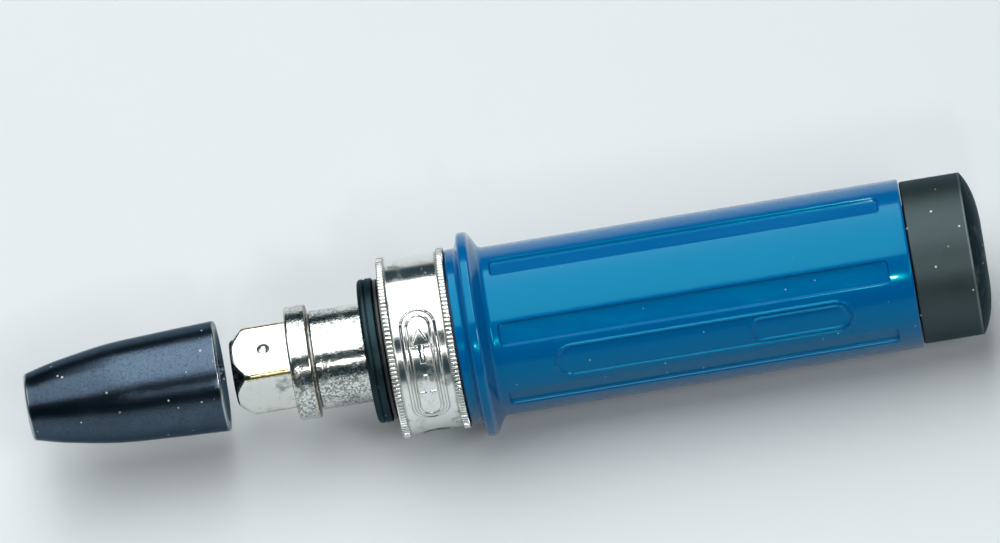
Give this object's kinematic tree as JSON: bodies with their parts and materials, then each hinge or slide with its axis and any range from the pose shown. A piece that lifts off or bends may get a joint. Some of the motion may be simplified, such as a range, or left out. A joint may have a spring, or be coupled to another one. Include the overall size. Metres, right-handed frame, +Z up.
{
  "type": "hand impact driver",
  "caption": "Hand impact driver with a square drive, knurled direction collar, ribbed grip sleeve and striking cap, its bit holder pulled off the square.",
  "frame": {"origin": "middle of the box at its lowest plane, the floor that the guard flange lies on", "axes": "+X along the tool's axis towards the striking cap, -X towards the square drive and the bit holder, +Z up out of the square's upper flat"},
  "size_m": [0.1864, 0.0396, 0.0396],
  "materials": {
    "grip_plastic": "glossy blue moulded sleeve",
    "bright_chrome": "bright chrome plate",
    "black_steel": "satin black steel",
    "holder_steel": "glossy black oxide",
    "black_nut": "satin black",
    "plain_steel": "turned steel, lightly greased",
    "spring_steel": "drawn wire",
    "screw_steel": "blackened screw",
    "ball_steel": "polished ball",
    "seal_rubber": "matt black rubber"
  },
  "bodies": {
    "handle": {"striking_cap": "black_steel", "barrel": "plain_steel", "cap_lock_pin": "plain_steel", "grip_sleeve": "grip_plastic", "main_spring": "spring_steel", "front_nut": "black_nut", "front_seal": "seal_rubber", "spindle_o_ring": "seal_rubber"},
    "collar": {"direction_collar": "bright_chrome", "collar_o_ring": "seal_rubber", "collar_key_screw_1": "screw_steel", "collar_key_screw_2": "screw_steel", "cam_sleeve": "plain_steel"},
    "follower": {"spring_follower": "plain_steel"},
    "spindle": {"spindle": "bright_chrome", "cross_pin": "plain_steel", "drive_detent_spring": "spring_steel"},
    "detent_ball": {"drive_detent_ball": "ball_steel"},
    "bit_holder": {"bit_holder": "holder_steel", "bit_retaining_ring": "spring_steel"}
  },
  "joints": [
    {"name": "direction_select", "type": "hinge", "parent": "handle", "child": "collar", "pos_m": [0, 0, 0.0198], "axis": [1, 0, 0], "range_deg": [0, 40]},
    {"name": "blow_stroke", "type": "slide", "parent": "collar", "child": "follower", "axis": [1, 0, 0], "range_m": [0, 0.008], "stiffness_N_per_m": 6000, "springref_m": -0.01, "deforming": ["main_spring"]},
    {"name": "drive_turn", "type": "hinge", "parent": "follower", "child": "spindle", "pos_m": [0, 0, 0.0198], "axis": [1, 0, 0], "range_deg": [-20, 0]},
    {"name": "detent_press", "type": "slide", "parent": "spindle", "child": "detent_ball", "axis": [0, 0, -1], "range_m": [0, 0.00035], "stiffness_N_per_m": 500, "springref_m": -0.001, "deforming": ["drive_detent_spring"]},
    {"name": "holder_seat", "type": "slide", "parent": "spindle", "child": "bit_holder", "axis": [1, 0, 0], "range_m": [0, 0.0132]}
  ],
  "couplings": [
    {"joint": "drive_turn", "follows": "blow_stroke", "rad_per_m": -43.63}
  ]
}
